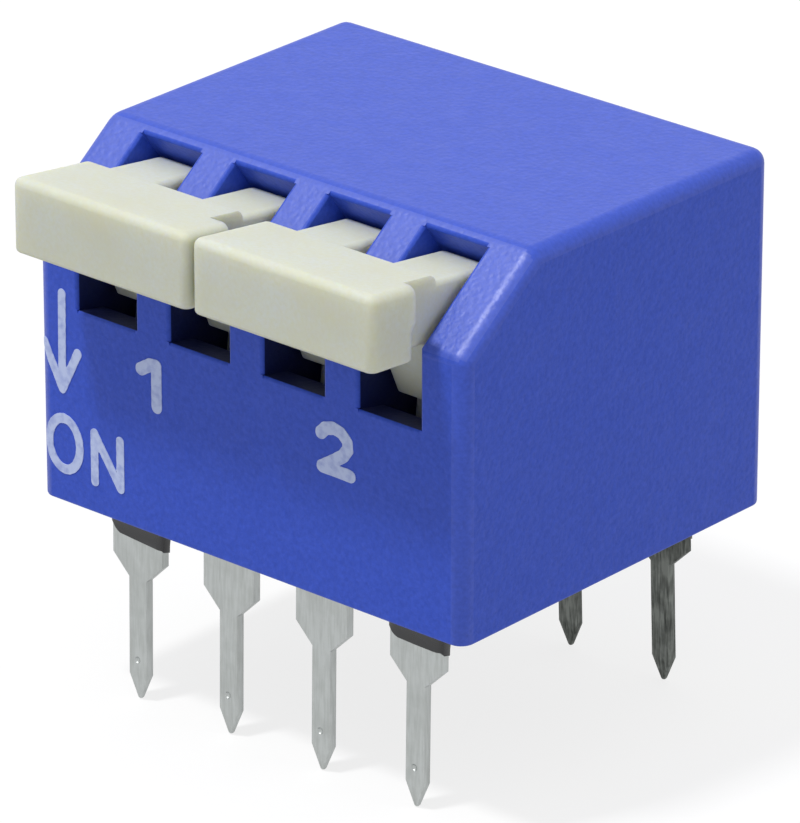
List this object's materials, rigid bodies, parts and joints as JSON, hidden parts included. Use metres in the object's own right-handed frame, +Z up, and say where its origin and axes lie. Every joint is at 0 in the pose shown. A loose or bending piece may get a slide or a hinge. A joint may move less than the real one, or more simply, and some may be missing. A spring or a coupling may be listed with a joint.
{
  "type": "dip switch",
  "caption": "Piano-type DIP switch with a sloping front, ganged double levers and flat through-hole terminals.",
  "frame": {"origin": "centre of the terminal grid, in the plane of the body's underside", "axes": "+X to the right along the front face that carries the levers, +Y to the back, +Z up"},
  "size_m": [0.0116, 0.0111, 0.0122],
  "materials": {
    "cover": "fine-grained blue moulding with glossier edges",
    "base": "black moulding",
    "seal": "dark cast resin",
    "lever": "cream moulding, slightly translucent",
    "terminal": "tin-plated stamped strip",
    "contact": "gold-flashed spring strip"
  },
  "bodies": {
    "housing": {"cover": "cover", "base": "base", "bottom_seal": "seal", "terminal_front_1": "terminal", "terminal_front_2": "terminal", "terminal_front_3": "terminal", "terminal_front_4": "terminal", "terminal_rear_1": "terminal", "terminal_rear_2": "terminal", "terminal_rear_3": "terminal", "terminal_rear_4": "terminal"},
    "actuator_1": {"lever_1": "lever", "contact_spring_1": "contact", "contact_spring_2": "contact"},
    "actuator_2": {"lever_2": "lever", "contact_spring_3": "contact", "contact_spring_4": "contact"}
  },
  "joints": [
    {"name": "lever_1_tilt", "type": "hinge", "parent": "housing", "child": "actuator_1", "pos_m": [-0.00254, -0.0026, 0.00495], "axis": [1, 0, 0], "range_deg": [0, 15]},
    {"name": "lever_2_tilt", "type": "hinge", "parent": "housing", "child": "actuator_2", "pos_m": [0.00254, -0.0026, 0.00495], "axis": [1, 0, 0], "range_deg": [0, 15]}
  ]
}
